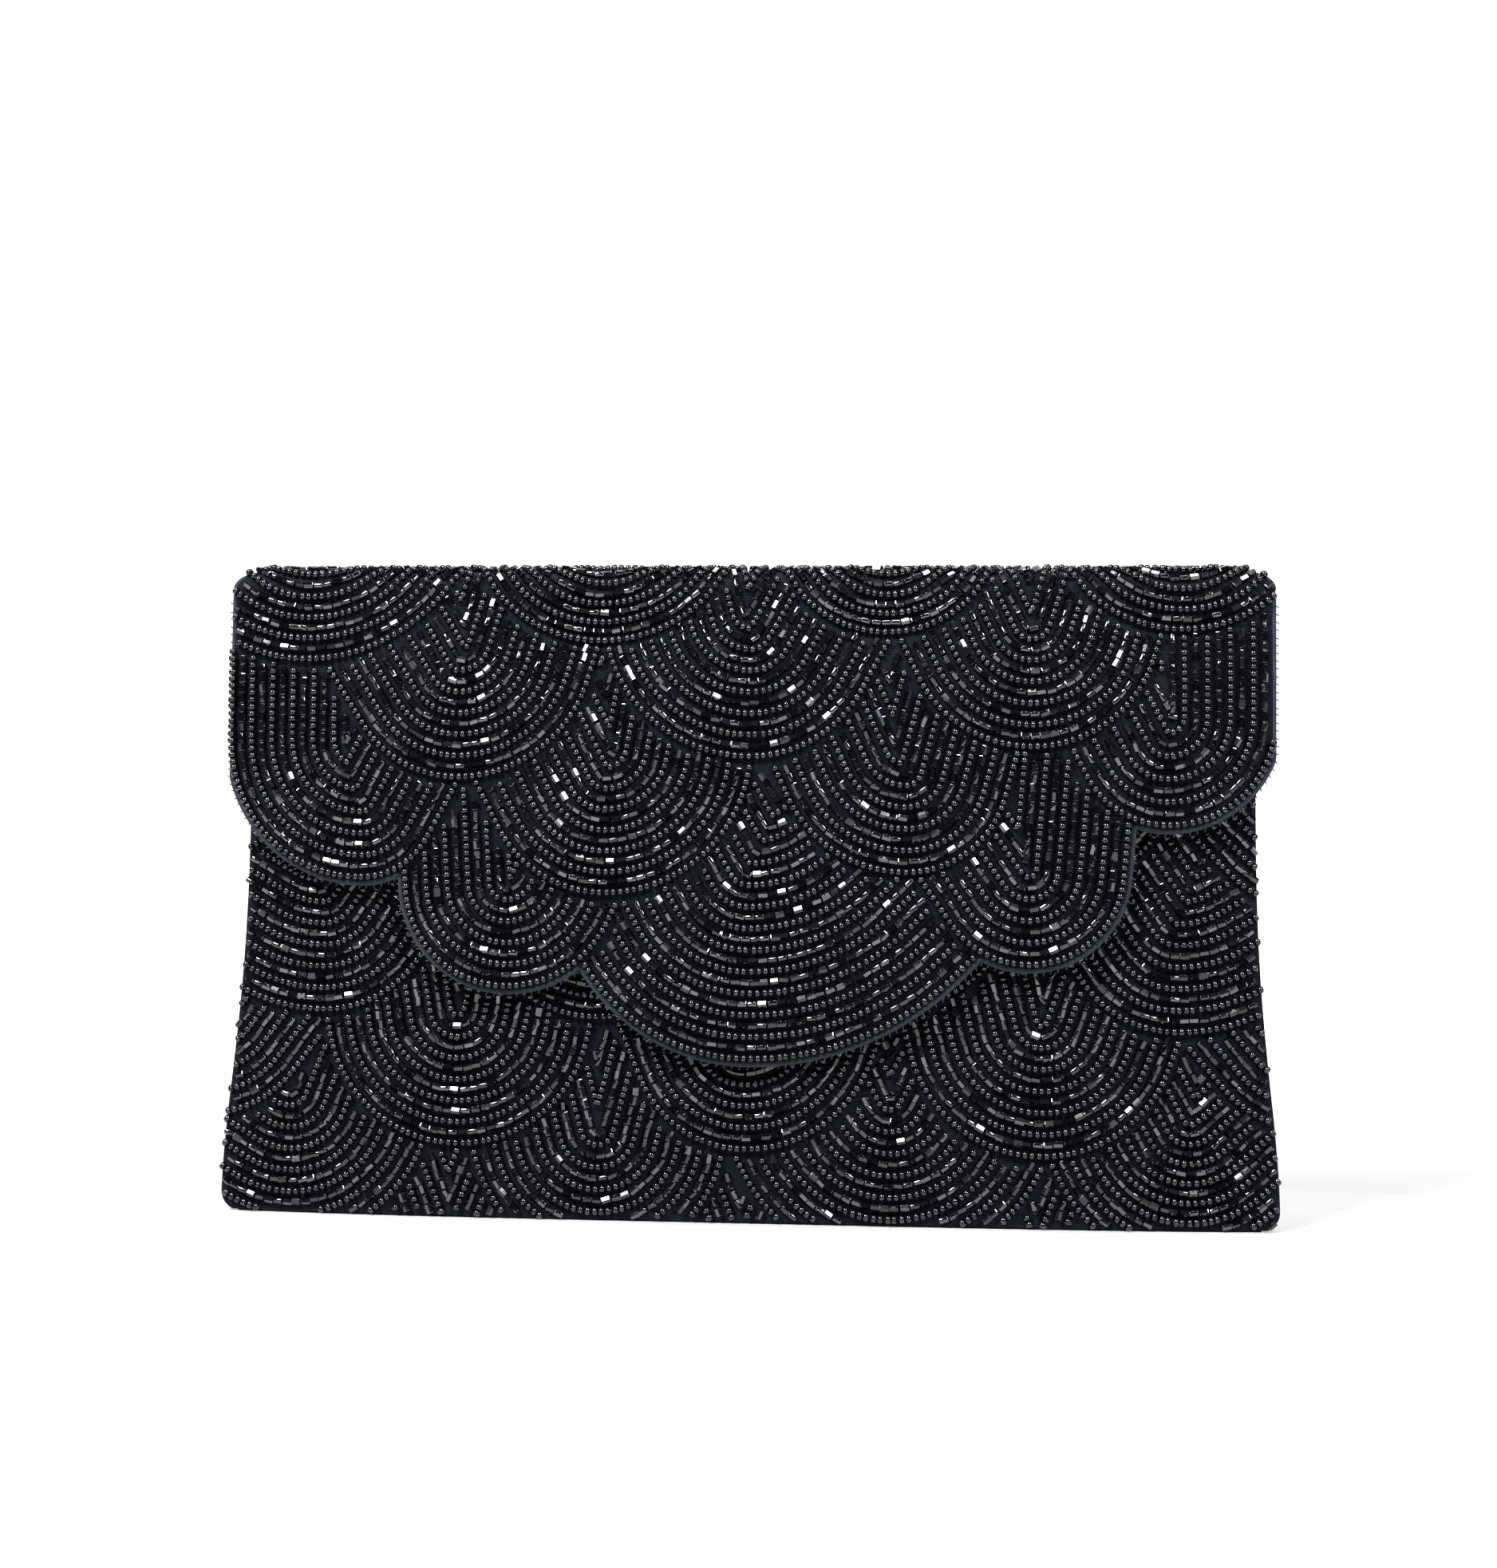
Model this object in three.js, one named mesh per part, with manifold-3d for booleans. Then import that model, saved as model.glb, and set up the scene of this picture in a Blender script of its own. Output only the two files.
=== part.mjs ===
// A beaded envelope clutch: a flat pouch, a rounded top fold and a scalloped front flap.
// Millimetres, +Z up, +X to the right seen from the front, the front faces -Y.
// The purse stands on its bottom seam, with the origin under the middle of its box.
import * as THREE from "three";
import { mergeVertices } from "three/addons/utils/BufferGeometryUtils.js";
import Module from "manifold-3d";

const wasm = await Module();
wasm.setup();

// ---- Driving dimensions ----
const bodyHalfWidth = 126.7; // under the flap, where the sides are straight
const baseFlare = 6.3; // how much wider each side is at the base
const flareHeight = 50;
const baseCorner = 5;
const flapHalfWidth = 130.8;
const widenHeight = 95; // where the back starts to widen towards the fold
const topCorner = 7;
const mouthHeight = 140; // top edge of the pouch's front panel
const foldRadius = 7.7; // outside radius of the rolled fold
const foldHeight = 157; // height of the fold's centre
const wallDepth = 4.5; // a panel's four layers and the air between them
const seamGap = 0.4; // between the front and back linings at the side seams
const air = 0.3; // between touching layers
const bowHalfWidth = 131; // the panels bow out between their sides
const backBow = 2.4;
const frontBow = 4.8;
const middleBow = 1.7; // added to the front halfway up
const settleHeight = 134; // below this the flap follows the front panel
const snapHeight = 68;
const depthShift = 2.07; // moves the origin to the middle of the whole depth
const beyond = 150; // a length past the purse on every side, for cutting

// Depth of each layer under the panel's outer face: [outer side, inner side].
const beads = [0, 2.0];
const ground = [2.3, 2.7];
const stiffener = [3.0, 3.8];
const lining = [4.1, 4.5];

// The fold unrolls about two lines. Each stands a quarter of the fabric's arc from the centre.
const hingeOffset = (Math.PI / 4) * (foldRadius - (ground[0] + ground[1]) / 2);

// The flap's lower edge: five overlapping scallops. Each hangs from its lowest point as two arcs,
// and its sides go on straight up, leaning this many degrees from level.
const scallops = [
  { x: -95, low: 82.6, left: [36, 90], right: [22, 64] },
  { x: -58, low: 56.2, left: [27, 86], right: [28, 66] },
  { x: 2, low: 38.4, left: [49, 60], right: [74, 46] },
  { x: 70.5, low: 62.6, left: [25, 55], right: [25, 86] },
  { x: 103.5, low: 96.6, left: [24, 62], right: [27.5, 90] },
];

const radians = THREE.MathUtils.degToRad;
const lerp = THREE.MathUtils.lerp;
const ease = (t) => THREE.MathUtils.smoothstep(t, 0, 1);

// ---- The panels' faces ----
// Each gives the y of a point at a depth under the panel's outer face.
const arch = (x) => 1 - Math.min(1, Math.abs(x) / bowHalfWidth) ** 4;

function backY(x, z, depth) {
  const rise = Math.sin(Math.PI * Math.min(1, z / foldHeight));
  return foldRadius + backBow * arch(x) * rise - depth;
}

function frontBulge(x, z) {
  const rise = Math.sin(Math.PI * Math.min(1, z / mouthHeight));
  return arch(x) * (frontBow + middleBow * rise);
}

function frontY(x, z, depth) {
  const innerFace = foldRadius - wallDepth - seamGap;
  return innerFace - wallDepth - frontBulge(x, z) + depth;
}

function flapY(x, z, depth) {
  const settle = ease((foldHeight - z) / (foldHeight - settleHeight));
  return -foldRadius - frontBulge(x, z) * settle + depth;
}

// ---- Solids ----
function solidFrom(geometry) {
  const bare = new THREE.BufferGeometry();
  bare.setAttribute("position", geometry.getAttribute("position"));
  bare.setIndex(geometry.index);
  const merged = mergeVertices(bare, 1e-4);
  return new wasm.Manifold(
    new wasm.Mesh({
      numProp: 3,
      vertProperties: new Float32Array(merged.attributes.position.array),
      triVerts: new Uint32Array(merged.index.array),
    }),
  );
}

function geometryFrom(solid) {
  const mesh = solid.getMesh();
  const points = new Float32Array(mesh.numVert * 3);
  for (let i = 0; i < mesh.numVert; i++) {
    const start = i * mesh.numProp;
    points.set(mesh.vertProperties.subarray(start, start + 3), i * 3);
  }
  const geometry = new THREE.BufferGeometry();
  geometry.setAttribute("position", new THREE.BufferAttribute(points, 3));
  geometry.setIndex(new THREE.BufferAttribute(mesh.triVerts, 1));
  geometry.computeVertexNormals();
  return geometry;
}

// A closed sheet between two faces. place(x, row, side) gives the point for side 0 or 1.
function sheet(columns, rows, place) {
  const across = columns.length;
  const points = [];
  const faces = [];
  for (const side of [0, 1]) {
    for (const row of rows) {
      for (const x of columns) points.push(...place(x, row, side));
    }
  }
  const at = (i, j, side) => (side * rows.length + j) * across + i;
  const quad = (a, b, c, d) => faces.push(a, b, c, a, c, d);
  for (let j = 0; j + 1 < rows.length; j++) {
    for (let i = 0; i + 1 < across; i++) {
      quad(at(i, j, 0), at(i + 1, j, 0), at(i + 1, j + 1, 0), at(i, j + 1, 0));
      quad(at(i, j, 1), at(i, j + 1, 1), at(i + 1, j + 1, 1), at(i + 1, j, 1));
    }
  }
  const last = across - 1;
  for (let j = 0; j + 1 < rows.length; j++) {
    quad(at(0, j, 1), at(0, j, 0), at(0, j + 1, 0), at(0, j + 1, 1));
    quad(at(last, j, 0), at(last, j, 1), at(last, j + 1, 1), at(last, j + 1, 0));
  }
  const top = rows.length - 1;
  for (let i = 0; i + 1 < across; i++) {
    quad(at(i, 0, 0), at(i, 0, 1), at(i + 1, 0, 1), at(i + 1, 0, 0));
    quad(at(i, top, 0), at(i + 1, top, 0), at(i + 1, top, 1), at(i, top, 1));
  }
  const geometry = new THREE.BufferGeometry();
  geometry.setAttribute("position", new THREE.Float32BufferAttribute(points, 3));
  geometry.setIndex(faces);
  const solid = solidFrom(geometry);
  if (solid.volume() > 0) return solid;
  for (let i = 0; i < faces.length; i += 3) {
    [faces[i + 1], faces[i + 2]] = [faces[i + 2], faces[i + 1]];
  }
  geometry.setIndex(faces);
  return solidFrom(geometry);
}

// An outline in the XZ plane, as a block through the whole depth of the purse.
function block(outline) {
  const options = { depth: 2 * beyond, bevelEnabled: false };
  const geometry = new THREE.ExtrudeGeometry(outline, options);
  geometry.rotateX(Math.PI / 2).translate(0, beyond, 0);
  return solidFrom(geometry);
}

function blockBox(x0, x1, z0, z1) {
  const outline = new THREE.Shape();
  outline.moveTo(x0, z0).lineTo(x1, z0).lineTo(x1, z1).lineTo(x0, z1);
  return block(outline);
}

// A disc or ring about a line along Y at the snap. profile is a list of [radius, y].
function turned(profile) {
  const points = profile.map(([radius, y]) => new THREE.Vector2(radius, y));
  const geometry = new THREE.LatheGeometry(points, 24).translate(0, 0, snapHeight);
  const solid = solidFrom(geometry);
  return solid.volume() > 0 ? solid : solidFrom(geometry.scale(-1, 1, 1));
}

function ring(inner, outer, y0, y1) {
  return turned([[inner, y0], [outer, y0], [outer, y1], [inner, y1], [inner, y0]]);
}

function disc(radius, y0, y1) {
  return turned([[0, y0], [radius, y0], [radius, y1], [0, y1]]);
}

// ---- Outlines ----
const bodyHalfWidthAt = (z) => bodyHalfWidth + baseFlare * Math.exp(-((z / flareHeight) ** 2));

// The back panel is one cloth with the flap, so it widens from the pouch to the flap.
function backHalfWidthAt(z) {
  const widen = ease((z - widenHeight) / (foldHeight - widenHeight));
  return bodyHalfWidthAt(z) + (flapHalfWidth - bodyHalfWidth) * widen;
}

// Level steps up a side, closer together near the base where it flares.
function sidePoints(inset, bottom, top, halfWidthAt) {
  const steps = 10;
  const points = [];
  for (let i = 0; i <= steps; i++) {
    const z = lerp(bottom, top, (i / steps) ** 1.5);
    points.push([halfWidthAt(z) - inset, z]);
  }
  return points;
}

// An outline standing on the base, inset from its edge all round, from its two lower corners and
// sides. topRadius is 0 for a square top.
function standingOutline(inset, top, halfWidthAt, topRadius) {
  const corner = Math.max(0.5, baseCorner - inset);
  const upper = topRadius ? topRadius - inset : 0;
  const side = sidePoints(inset, inset + corner, top - upper, halfWidthAt);
  const cornerX = side[0][0] - corner;
  const outline = new THREE.Shape();
  outline.moveTo(-cornerX, inset).lineTo(cornerX, inset);
  outline.absarc(cornerX, inset + corner, corner, -Math.PI / 2, 0, false);
  for (const [x, z] of side.slice(1)) outline.lineTo(x, z);
  if (upper) {
    const upperX = side[side.length - 1][0] - upper;
    outline.absarc(upperX, top - upper, upper, 0, Math.PI / 2, false);
    outline.absarc(-upperX, top - upper, upper, Math.PI / 2, Math.PI, false);
  }
  for (const [x, z] of side.slice(1).reverse()) outline.lineTo(-x, z);
  outline.absarc(-cornerX, inset + corner, corner, Math.PI, Math.PI * 1.5, false);
  return outline;
}

const bodyOutline = (inset, top) => standingOutline(inset, top, bodyHalfWidthAt, 0);

// The fold and the upper part of the flap: a strip with rounded top corners.
function topOutline(inset, bottom) {
  const edge = flapHalfWidth - inset;
  const top = foldHeight + foldRadius;
  const corner = topCorner - inset;
  const outline = new THREE.Shape();
  outline.moveTo(-edge, bottom).lineTo(edge, bottom).lineTo(edge, top - corner);
  outline.absarc(edge - corner, top - corner, corner, 0, Math.PI / 2, false);
  outline.lineTo(corner - edge, top);
  outline.absarc(corner - edge, top - corner, corner, Math.PI / 2, Math.PI, false);
  return outline;
}

function scallopOutline({ x, low, left, right }, inset) {
  const steps = 8;
  const outline = new THREE.Shape();
  const arc = ([radius, lean], sign) => {
    const reach = radius - inset;
    const points = [];
    for (let i = 0; i <= steps; i++) {
      const angle = radians((lean * i) / steps);
      points.push([x + sign * reach * Math.sin(angle), low + radius - reach * Math.cos(angle)]);
    }
    const [endX, endZ] = points[steps];
    const run = lean < 90 ? (mouthHeight - endZ) / Math.tan(radians(lean)) : 0;
    points.push([endX + sign * run, mouthHeight]);
    return points;
  };
  const path = [...arc(left, -1).reverse(), ...arc(right, 1).slice(1)];
  outline.setFromPoints(path.map(([px, pz]) => new THREE.Vector2(px, pz)));
  return outline;
}

// The whole flap, from its scalloped edge up to a height.
function flapBlock(inset) {
  let hanging = block(scallopOutline(scallops[0], inset));
  for (const scallop of scallops.slice(1)) {
    hanging = hanging.add(block(scallopOutline(scallop, inset)));
  }
  const strip = block(topOutline(inset, 0));
  const upper = block(topOutline(inset, settleHeight));
  return hanging.intersect(strip).add(upper);
}

// ---- Panels ----
const columns = [-134, -124, -106, -80, -45, 0, 45, 80, 106, 124, 134];
const frontHeights = [0, 35, 70, 105, mouthHeight];
const backHeights = [0, 35, 70, 105, mouthHeight, foldHeight];
const flapHeights = [35, 70, 105, settleHeight, 141, 149, foldHeight];

// Where a layer of the pouch or flap ends on the fold, and where the fold's own layer begins:
// the beadwork is cut back so that it closes like a mitre when the fold straightens.
const endAngle = (depth) => lerp(31, 43.5, Math.min(1, depth / beads[1]));

// A point of the fold: angle from the back's side, 0 level at the back and 180 at the front.
function foldPoint(x, angle, depth) {
  const radius = foldRadius - depth;
  const turn = radians(angle);
  return [x, radius * Math.cos(turn), foldHeight + radius * Math.sin(turn)];
}

function backPanel(layer, reachesFold = true) {
  const rows = backHeights.map((z) => ({ z }));
  if (reachesFold) rows.push({ share: 0.5 }, { share: 1 });
  return sheet(columns, rows, (x, row, side) => {
    const depth = layer[side];
    if ("z" in row) return [x, backY(x, row.z, depth), row.z];
    return foldPoint(x, row.share * endAngle(depth), depth);
  });
}

function frontPanel(layer) {
  return sheet(columns, frontHeights, (x, z, side) => [x, frontY(x, z, layer[side]), z]);
}

function flapPanel(layer, reachesFold = true) {
  const rows = flapHeights.map((z) => ({ z }));
  if (reachesFold) rows.push({ share: 0.5 }, { share: 1 });
  return sheet(columns, rows, (x, row, side) => {
    const depth = layer[side];
    if ("z" in row) return [x, flapY(x, row.z, depth), row.z];
    return foldPoint(x, 180 - row.share * endAngle(depth), depth);
  });
}

function foldPanel(layer) {
  const shares = [0, 1 / 3, 2 / 3, 1];
  const ends = [columns[0], columns[columns.length - 1]];
  return sheet(ends, shares, (x, share, side) => {
    const depth = layer[side];
    const start = 90 - endAngle(depth);
    return foldPoint(x, lerp(start, 180 - start, share), depth);
  });
}

// A back layer's outline, from the base to the top of the fold.
function backBlock(inset, halfWidthAt) {
  const top = foldHeight + foldRadius;
  return block(standingOutline(inset, top, halfWidthAt, topCorner));
}

const group = new THREE.Group();
group.position.y = depthShift;

function piece(name, solid, color, roughness, metalness = 0) {
  const material = new THREE.MeshStandardMaterial({ color, roughness, metalness });
  const mesh = new THREE.Mesh(geometryFrom(solid), material);
  mesh.name = name;
  group.add(mesh);
}

const jet = "#0b0b10";
const charcoal = "#26262e";
const satin = "#0d0d0f";
const board = "#cfcabd";
const nickel = "#b9b7b1";

// Insets of each layer from the edge of the purse.
const beadInset = 1.0; // on the flap, whose rolled fabric edge shows below the beads
const fabricInset = 0.4;
const stiffenerInset = 4.0;
const liningInset = 2.2;
const hemInset = [0.1, 1.6];

// ---- Back panel of the pouch ----
function addBack() {
  const noFold = blockBox(-beyond, beyond, 0, foldHeight - 2);
  const outer = backBlock(0, backHalfWidthAt);
  const fabric = backBlock(fabricInset, backHalfWidthAt);
  const stiff = backBlock(stiffenerInset, bodyHalfWidthAt).intersect(noFold);
  const inner = backBlock(liningInset, bodyHalfWidthAt);
  piece("back_beadwork", backPanel(beads).intersect(outer), jet, 0.2);
  piece("back_ground_fabric", backPanel(ground).intersect(fabric), charcoal, 0.9);
  piece("back_interlining", backPanel(stiffener, false).intersect(stiff), board, 1);
  piece("back_lining", backPanel(lining).intersect(inner), satin, 0.5);
}

// ---- Front panel of the pouch, with a bead-free ring for the snap ----
const snapRing = 8.2;
const washerHole = 7.2;
const bindingHalfWidth = 125;
const bindingHeight = 1.4;

function addFront() {
  const top = mouthHeight - air;
  const outer = block(bodyOutline(0, top));
  const fabric = block(bodyOutline(fabricInset, top));
  const stiff = block(bodyOutline(stiffenerInset, mouthHeight - 2));
  const inner = block(bodyOutline(liningInset, top));
  const bare = disc(snapRing, -beyond, beyond);
  const hole = disc(washerHole, -beyond, beyond);
  piece("front_beadwork", frontPanel(beads).intersect(outer).subtract(bare), jet, 0.2);
  piece("front_ground_fabric", frontPanel(ground).intersect(fabric), charcoal, 0.9);
  piece("front_interlining", frontPanel(stiffener).intersect(stiff).subtract(hole), board, 1);
  piece("front_lining", frontPanel(lining).intersect(inner), satin, 0.5);
}

// The strip that binds the front panel's four layers along the mouth.
function addMouthBinding() {
  const rows = [mouthHeight, mouthHeight + bindingHeight];
  const place = (x, z, side) => [x, frontY(x, mouthHeight, side * wallDepth), z];
  const span = blockBox(-bindingHalfWidth, bindingHalfWidth, 0, beyond * 2);
  piece("mouth_binding", sheet(columns, rows, place).intersect(span), satin, 0.5);
}

// ---- Seams that close the pouch, between the two ground fabrics ----
const seamInset = [0.5, 1.8];
const seamTop = mouthHeight - 1;
const seamStart = 100; // from the middle, outside which the side seams turn under the corners
const stripHalfWidth = 128;
const stripHeight = 1.2;

function addSeams() {
  const inner = ground[1] + air;
  const web = sheet(columns, [...frontHeights.slice(0, -1), seamTop], (x, z, side) => {
    return [x, side ? backY(x, z, inner) : frontY(x, z, inner), z];
  });
  const outline = block(bodyOutline(seamInset[0], mouthHeight));
  const rim = outline.subtract(block(bodyOutline(seamInset[1], beyond)));
  const bottom = stripHeight + air;
  const left = rim.intersect(blockBox(-beyond, -seamStart, bottom, beyond));
  const right = rim.intersect(blockBox(seamStart, beyond, bottom, beyond));
  const base = blockBox(-stripHalfWidth, stripHalfWidth, 0, stripHeight);
  piece("left_side_seam", web.intersect(left), charcoal, 0.9);
  piece("right_side_seam", web.intersect(right), charcoal, 0.9);
  piece("bottom_seam_strip", web.intersect(base), charcoal, 0.9);
}

// ---- Slip pocket sewn to the back lining ----
const pocketHalfWidth = 58;
const pocketBottom = 38;
const pocketTop = 108;
const pocketRim = 3;
const pocketThickness = 0.4;
const rimThickness = 0.9;

function addPocket() {
  const place = (deep) => (x, z, side) => [x, backY(x, z, deep[side]), z];
  const across = [-1, -0.5, 0, 0.5, 1].map((share) => share * pocketHalfWidth);
  const up = [0, 1 / 3, 2 / 3, 1].map((share) => lerp(pocketBottom, pocketTop, share));
  const against = lining[1] + air;
  const thin = [against, against + pocketThickness];
  const thick = [against, against + rimThickness];
  const rim = [pocketTop + air, pocketTop + air + pocketRim];
  piece("slip_pocket", sheet(across, up, place(thin)), satin, 0.5);
  piece("slip_pocket_binding", sheet(across, rim, place(thick)), satin, 0.5);
}

// ---- The rolled top fold ----
function addFold() {
  const strip = (inset) => block(topOutline(inset, settleHeight));
  piece("fold_beadwork", foldPanel(beads).intersect(strip(0)), jet, 0.2);
  piece("fold_ground_fabric", foldPanel(ground).intersect(strip(fabricInset)), charcoal, 0.9);
  piece("fold_lining", foldPanel(lining).intersect(strip(liningInset)), satin, 0.5);
}

// ---- The flap ----
const hemTop = 118;

function addFlap() {
  const noFold = blockBox(-beyond, beyond, 0, foldHeight - 2);
  const hole = disc(washerHole, -beyond, beyond);
  const stiff = flapPanel(stiffener, false).intersect(flapBlock(stiffenerInset));
  const edge = flapBlock(hemInset[0]).subtract(flapBlock(hemInset[1]));
  const turnedIn = flapPanel([ground[1] + air, lining[1]], false);
  const hem = turnedIn.intersect(edge).intersect(blockBox(-beyond, beyond, 0, hemTop));
  piece("flap_beadwork", flapPanel(beads).intersect(flapBlock(beadInset)), jet, 0.2);
  piece("flap_ground_fabric", flapPanel(ground).intersect(flapBlock(0)), charcoal, 0.9);
  piece("flap_interlining", stiff.intersect(noFold).subtract(hole), board, 1);
  piece("flap_lining", flapPanel(lining).intersect(flapBlock(liningInset)), satin, 0.5);
  piece("flap_edge_hem", hem, charcoal, 0.9);
}

// ---- Magnetic snap ----
const snapRadius = 7;
const snapPlate = 0.7;
const socketDepth = 2.2;
const socketSkin = 0.4;
const socketHole = 3;
const studRadius = 2.2;
const studLength = 1.7;
const washerRadius = [1.2, 6.5];
const washerThickness = 0.6;
const washerAir = 0.1;

function addSnap() {
  const fabric = frontY(0, snapHeight, ground[0]) - air;
  const face = fabric - socketDepth;
  const plateInner = face - air;
  const plateOuter = plateInner - snapPlate;
  const socket = turned([
    [0, fabric],
    [snapRadius, fabric],
    [snapRadius, face],
    [socketHole, face],
    [socketHole, face + socketSkin],
    [snapRadius - socketSkin, face + socketSkin],
    [snapRadius - socketSkin, fabric - socketSkin],
    [0, fabric - socketSkin],
  ]);
  const stud = turned([
    [0, plateOuter],
    [snapRadius, plateOuter],
    [snapRadius, plateInner],
    [studRadius, plateInner],
    [studRadius, plateInner + studLength],
    [0, plateInner + studLength],
  ]);
  const gap = air / 2;
  const magnetFront = face + socketSkin + gap;
  const magnetBack = fabric - socketSkin - gap;
  const magnet = ring(socketHole + air, snapRadius - socketSkin - air, magnetFront, magnetBack);
  const behindFront = frontY(0, snapHeight, stiffener[0]);
  const behindFlap = flapY(0, snapHeight, stiffener[1]);
  const washer = (y) => ring(...washerRadius, y, y + washerThickness);
  piece("snap_socket", socket, nickel, 0.3, 1);
  piece("snap_magnet", magnet, "#3c3b3d", 0.5, 0.8);
  piece("snap_socket_washer", washer(behindFront + washerAir), nickel, 0.4, 1);
  piece("snap_stud", stud, nickel, 0.3, 1);
  piece("snap_stud_washer", washer(behindFlap - washerAir - washerThickness), nickel, 0.4, 1);
}

addBack();
addFront();
addMouthBinding();
addSeams();
addPocket();
addFold();
addFlap();
addSnap();

export default group;
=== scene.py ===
# The looks of a beaded envelope clutch: several thousand seed and bugle beads sewn on its cloth,
# a satin lining, a rolled flap edge and a magnetic snap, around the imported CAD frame.
# Lengths are in millimetres until a mesh is made, and MM turns them into metres.
import math

import bpy
import numpy as np
from mathutils import Matrix, Vector


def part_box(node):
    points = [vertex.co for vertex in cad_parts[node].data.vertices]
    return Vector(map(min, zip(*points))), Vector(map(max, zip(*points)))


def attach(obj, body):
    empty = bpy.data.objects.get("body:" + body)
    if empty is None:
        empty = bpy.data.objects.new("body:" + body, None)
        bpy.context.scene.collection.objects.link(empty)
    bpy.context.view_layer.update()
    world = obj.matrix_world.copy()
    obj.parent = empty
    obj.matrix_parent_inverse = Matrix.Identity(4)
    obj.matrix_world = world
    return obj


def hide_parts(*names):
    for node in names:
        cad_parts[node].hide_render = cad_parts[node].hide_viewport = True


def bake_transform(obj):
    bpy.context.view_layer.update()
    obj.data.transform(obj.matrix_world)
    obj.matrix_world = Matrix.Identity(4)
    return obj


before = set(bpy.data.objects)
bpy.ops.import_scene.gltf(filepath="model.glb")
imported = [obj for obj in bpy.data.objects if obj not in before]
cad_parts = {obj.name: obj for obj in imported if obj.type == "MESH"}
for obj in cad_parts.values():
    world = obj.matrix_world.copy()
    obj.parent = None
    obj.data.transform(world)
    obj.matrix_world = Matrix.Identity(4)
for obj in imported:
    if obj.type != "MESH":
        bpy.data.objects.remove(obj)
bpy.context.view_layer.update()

MM = 0.001

# ---- The purse's driving dimensions, as in the CAD model ----
BODY_HALF_WIDTH = 126.7
BASE_FLARE = 6.3
FLARE_HEIGHT = 50
BASE_CORNER = 5
FLAP_HALF_WIDTH = 130.8
WIDEN_HEIGHT = 95
TOP_CORNER = 7
MOUTH_HEIGHT = 140
FOLD_RADIUS = 7.7
FOLD_HEIGHT = 157
WALL_DEPTH = 4.5
SEAM_GAP = 0.4
BOW_HALF_WIDTH = 131
BACK_BOW = 2.4
FRONT_BOW = 4.8
MIDDLE_BOW = 1.7
SETTLE_HEIGHT = 134
DEPTH_SHIFT = 2.07
SNAP_HEIGHT = 68
SNAP_RING = 8.2

# Depths under a panel's outer face.
CLOTH = 2.3  # the ground cloth's outer face, which carries the beads
CLOTH_BACK = 2.7
STIFFENER = (2.95, 3.85)
LINING_BACK = 4.0
LINING = 4.5  # the lining's inner face
CLOTH_RADIUS = FOLD_RADIUS - (CLOTH + CLOTH_BACK) / 2
FOLD_LENGTH = math.pi * CLOTH_RADIUS  # of cloth round the fold
FOLD_MIDDLE = FOLD_HEIGHT + FOLD_LENGTH / 2
COVER_TOP = FOLD_HEIGHT + FOLD_LENGTH  # where the fold ends on the back
COVER_END = COVER_TOP + FOLD_HEIGHT  # the back's lower edge


def smooth(t):
    t = np.clip(t, 0, 1)
    return t * t * (3 - 2 * t)


# ---- The panels' faces ----
def arch(x):
    return 1 - np.minimum(1, np.abs(x) / BOW_HALF_WIDTH) ** 4


def front_bulge(x, z):
    rise = np.sin(np.pi * np.minimum(1, z / MOUTH_HEIGHT))
    return arch(x) * (FRONT_BOW + MIDDLE_BOW * rise)


def front_face(x, z, depth):
    """Points of the pouch's front panel, at a depth under its outer face."""
    inner = FOLD_RADIUS - WALL_DEPTH - SEAM_GAP
    y = inner - WALL_DEPTH - front_bulge(x, z) + depth
    return np.stack([x, y + DEPTH_SHIFT, z + 0 * x], -1)


def cover_face(x, v, depth):
    """Points of the long cloth that is flap, fold and back in one. v runs up the flap, which hangs
    below FOLD_HEIGHT, round the fold, and down the back to COVER_END."""
    x, v, depth = np.broadcast_arrays(np.asarray(x, float), np.asarray(v, float), depth)
    settle = smooth((FOLD_HEIGHT - v) / (FOLD_HEIGHT - SETTLE_HEIGHT))
    flap_y = -FOLD_RADIUS - front_bulge(x, np.minimum(v, MOUTH_HEIGHT)) * settle + depth
    angle = np.pi * (1 - np.clip((v - FOLD_HEIGHT) / FOLD_LENGTH, 0, 1))
    radius = FOLD_RADIUS - depth
    back_z = FOLD_HEIGHT - (v - COVER_TOP)
    rise = np.sin(np.pi * np.clip(back_z / FOLD_HEIGHT, 0, 1))
    back_y = FOLD_RADIUS + BACK_BOW * arch(x) * rise - depth
    on_flap, on_back = v < FOLD_HEIGHT, v > COVER_TOP
    y = np.where(on_flap, flap_y, np.where(on_back, back_y, radius * np.cos(angle)))
    fold_z = FOLD_HEIGHT + radius * np.sin(angle)
    z = np.where(on_flap, v, np.where(on_back, back_z, fold_z))
    return np.stack([x, y + DEPTH_SHIFT, z], -1)


def face_y(face, x, v, depth):
    return face(np.asarray(x, float), np.asarray(v, float), depth)[..., 1]


def back_v(z):
    """The long cloth's v at a height of the back."""
    return COVER_TOP + FOLD_HEIGHT - z


def unit(vectors):
    return vectors / np.maximum(np.linalg.norm(vectors, axis=-1, keepdims=True), 1e-9)


def face_frame(face, x, v, depth):
    """A point of a face with its two directions and outward normal."""
    step = 0.05
    across = unit(face(x + step, v, depth) - face(x - step, v, depth))
    along = unit(face(x, v + step, depth) - face(x, v - step, depth))
    return face(x, v, depth), across, along, unit(np.cross(across, along))


# ---- Outlines ----
def body_half_width(z):
    return BODY_HALF_WIDTH + BASE_FLARE * np.exp(-((z / FLARE_HEIGHT) ** 2))


def back_half_width(z):
    widen = smooth((z - WIDEN_HEIGHT) / (FOLD_HEIGHT - WIDEN_HEIGHT))
    return body_half_width(z) + (FLAP_HALF_WIDTH - BODY_HALF_WIDTH) * widen


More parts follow.
